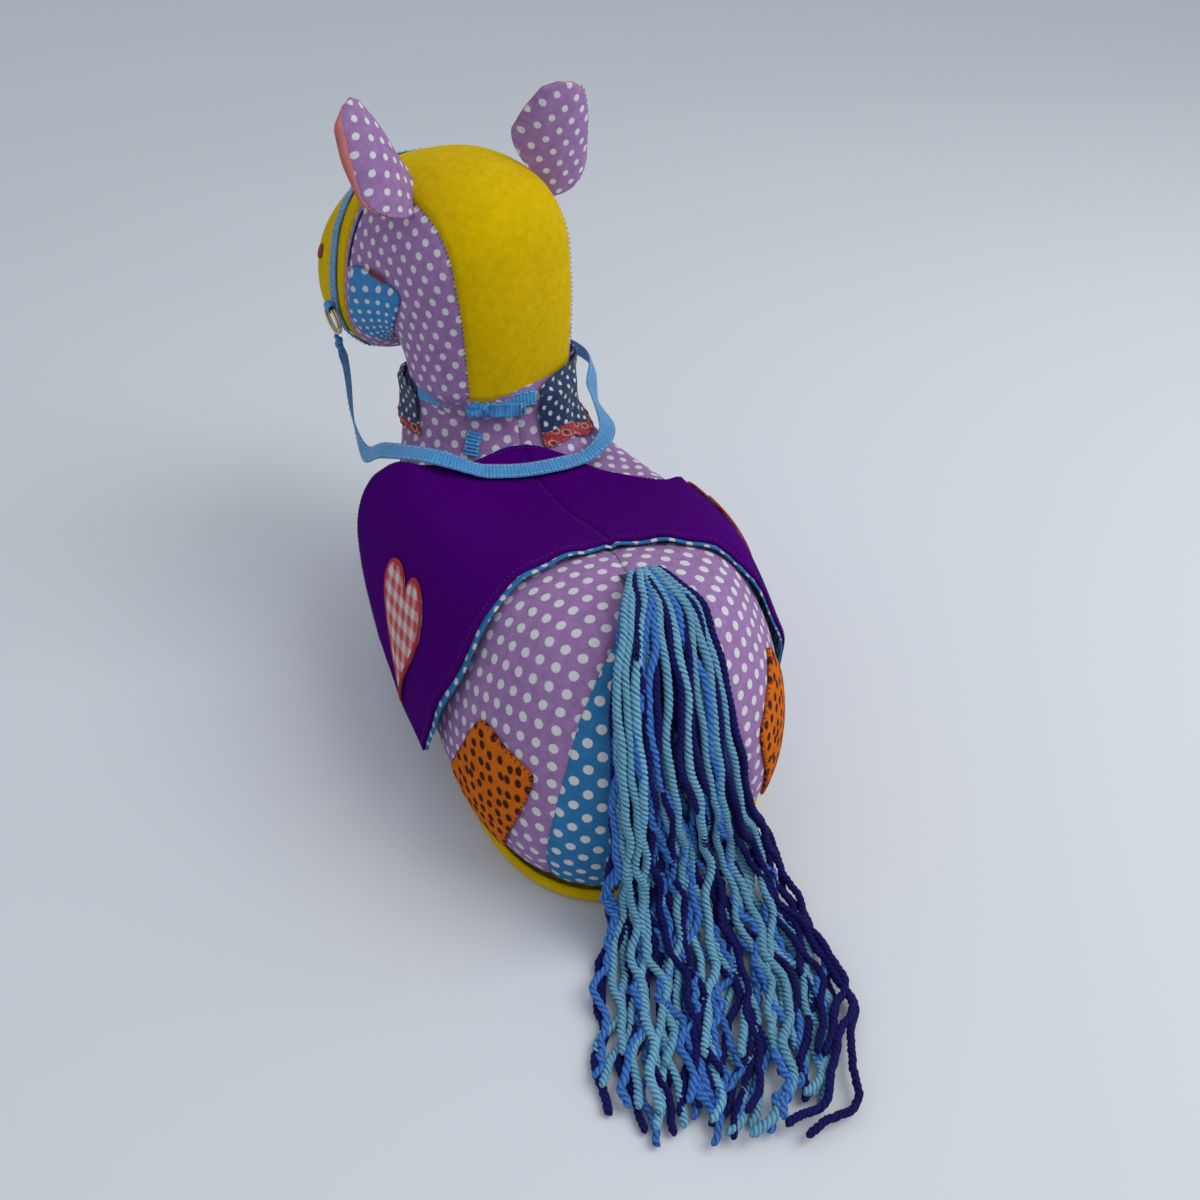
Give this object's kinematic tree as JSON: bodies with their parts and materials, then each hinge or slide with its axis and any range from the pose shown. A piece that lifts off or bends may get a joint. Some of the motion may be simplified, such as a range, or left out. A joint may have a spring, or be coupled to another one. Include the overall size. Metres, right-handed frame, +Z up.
{
  "type": "plush horse",
  "caption": "Stuffed felt toy horse that sits on a flat base, with a raised neck, padded ears, saddle cloth, ribbon bridle with rings, kerchief and a long yarn tail.",
  "frame": {"origin": "centre of the flat base, on the floor", "axes": "+Z up, -Y the way the chest faces, +X the horse's left"},
  "size_m": [0.1978, 0.5417, 0.2995],
  "materials": {
    "filling": "loose polyester filling, hidden",
    "lilac_felt": "mottled lilac felt printed with white dots",
    "blue_felt": "blue felt printed with white dots",
    "yellow_felt": "plain yellow felt",
    "violet_felt": "deep violet felt",
    "saddle_lining": "blue dotted cotton",
    "checked_cotton": "red and white checked cotton",
    "orange_felt": "orange felt with brown spots",
    "coral_felt": "coral felt",
    "nostril_felt": "brown-pink felt",
    "ribbon": "ribbed blue ribbon with pale stitching along both edges",
    "dark_cotton": "dark blue cotton with small white dots",
    "printed_trim": "red printed cotton",
    "yarn": "loose yarn in aqua, navy and mid blue",
    "thread": "dark thread",
    "button": "glossy dark button",
    "ring": "polished pale brass wire"
  },
  "bodies": {
    "toy": {"base_panel": "yellow_felt", "body_stuffing": "filling", "side_panel_left": "lilac_felt", "side_panel_right": "lilac_felt", "rear_gusset": "blue_felt", "head_stuffing": "filling", "head_side_left": "lilac_felt", "head_side_right": "lilac_felt", "head_gusset": "yellow_felt", "muzzle_cover": "yellow_felt", "saddle_lining": "saddle_lining", "saddle_felt": "violet_felt", "heart_left": "checked_cotton", "heart_right": "checked_cotton", "hip_patch_left": "orange_felt", "hip_patch_right": "orange_felt", "cheek_patch_left": "blue_felt", "cheek_patch_right": "blue_felt", "nostril_left": "nostril_felt", "nostril_right": "nostril_felt", "eye_left": "button", "eye_right": "button", "noseband": "ribbon", "ring_loop_left": "ribbon", "ring_loop_right": "ribbon", "kerchief": "dark_cotton", "kerchief_trim": "printed_trim", "neck_tie": "ribbon", "neck_tie_knot": "ribbon", "neck_tie_loop": "ribbon", "neck_tie_end": "ribbon", "tail_stitch": "thread", "reins": "ribbon"},
    "tail": {"tail_yarn": "yarn"},
    "left_ear": {"ear_left": "lilac_felt", "ear_lining_left": "coral_felt"},
    "right_ear": {"ear_right": "lilac_felt", "ear_lining_right": "coral_felt"},
    "left_ring": {"ring_left": "ring"},
    "right_ring": {"ring_right": "ring"}
  },
  "joints": [
    {"name": "tail_lift", "type": "hinge", "parent": "toy", "child": "tail", "pos_m": [0.00374, 0.09005, 0.14168], "axis": [1, 0, 0], "range_deg": [0, 90]},
    {"name": "left_ear_bend", "type": "hinge", "parent": "toy", "child": "left_ear", "pos_m": [0.0524, -0.11991, 0.24864], "axis": [0.2804, 0.7947, -0.5384], "range_deg": [-10, 14], "stiffness_Nm_per_rad": 0.02},
    {"name": "right_ear_bend", "type": "hinge", "parent": "toy", "child": "right_ear", "pos_m": [-0.02451, -0.13852, 0.24614], "axis": [0.7797, 0.2193, 0.5864], "range_deg": [-20, 20], "stiffness_Nm_per_rad": 0.02},
    {"name": "left_ring_turn", "type": "hinge", "parent": "toy", "child": "left_ring", "pos_m": [0.09284, -0.19013, 0.16695], "axis": [0.9529, 0.2558, -0.1632], "continuous": true},
    {"name": "right_ring_turn", "type": "hinge", "parent": "toy", "child": "right_ring", "pos_m": [0.00895, -0.22925, 0.16695], "axis": [-0.8084, -0.5655, -0.1632], "continuous": true}
  ]
}
